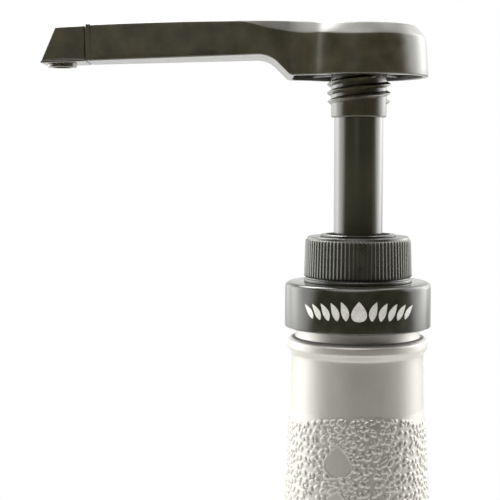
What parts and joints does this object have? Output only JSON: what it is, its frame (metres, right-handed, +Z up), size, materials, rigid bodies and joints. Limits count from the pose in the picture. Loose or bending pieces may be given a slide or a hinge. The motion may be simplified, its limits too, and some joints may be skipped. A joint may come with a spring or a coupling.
{
  "type": "condiment pump dispenser",
  "caption": "Hand pump with a long side spout, screwed through an adapter ring onto a slim-necked, pebble-textured silver sauce bottle.",
  "frame": {"origin": "centre of the bottle's base, on the plane it stands on", "axes": "+Z up along the pump's axis, spout pointing along -X, +Y away from the side with the mark on the ring"},
  "size_m": [0.1307, 0.079, 0.3655],
  "materials": {
    "silver_plastic": "satin silver, pearlescent",
    "black_plastic": "moulded, low gloss",
    "head_plastic": "moulded, finely grained",
    "stem_plastic": "smooth, polished by wear",
    "natural_plastic": "unpigmented, slightly waxy",
    "steel": "drawn stainless",
    "seal": "matt"
  },
  "bodies": {
    "bottle": {"bottle": "silver_plastic"},
    "bottle_seal": {"bottle_gasket": "seal"},
    "adapter": {"adapter_ring": "black_plastic"},
    "pump": {"neck_gasket": "seal", "chaplet": "black_plastic", "stem_seal": "seal", "pump_housing": "natural_plastic", "ball_cage": "natural_plastic", "dip_tube": "natural_plastic", "return_spring": "steel"},
    "closure": {"closure": "black_plastic"},
    "inlet_ball": {"inlet_ball": "steel"},
    "piston": {"piston": "natural_plastic"},
    "plunger": {"stem": "stem_plastic", "stem_foot": "natural_plastic", "stem_gasket": "seal", "pump_head": "head_plastic", "spout_tip": "head_plastic", "tip_gasket": "seal"},
    "outlet_ball": {"outlet_ball": "steel"}
  },
  "joints": [
    {"name": "adapter_lift", "type": "slide", "parent": "bottle", "child": "bottle_seal", "axis": [0, 0, 1], "range_m": [0, 0.0064]},
    {"name": "adapter_turn", "type": "hinge", "parent": "bottle_seal", "child": "adapter", "pos_m": [0, 0, 0.29], "axis": [0, 0, 1], "range_deg": [0, 540]},
    {"name": "closure_lift", "type": "slide", "parent": "adapter", "child": "pump", "axis": [0, 0, 1], "range_m": [0, 0.0064]},
    {"name": "closure_turn", "type": "hinge", "parent": "pump", "child": "closure", "pos_m": [0, 0, 0.3], "axis": [0, 0, 1], "range_deg": [0, 540]},
    {"name": "inlet_ball_lift", "type": "slide", "parent": "pump", "child": "inlet_ball", "axis": [0, 0, 1], "range_m": [0, 0.0016]},
    {"name": "pump_stroke", "type": "slide", "parent": "pump", "child": "piston", "axis": [0, 0, 1], "range_m": [-0.0375, 0], "stiffness_N_per_m": 250, "springref_m": 0.03, "deforming": ["return_spring"]},
    {"name": "head_turn", "type": "hinge", "parent": "piston", "child": "plunger", "pos_m": [0, 0, 0.35], "axis": [0, 0, 1], "continuous": true},
    {"name": "outlet_ball_lift", "type": "slide", "parent": "plunger", "child": "outlet_ball", "axis": [0, 0, 1], "range_m": [0, 0.0016]}
  ],
  "couplings": [
    {"joint": "adapter_lift", "follows": "adapter_turn", "m_per_rad": 0.00067322},
    {"joint": "closure_lift", "follows": "closure_turn", "m_per_rad": 0.00067322}
  ]
}
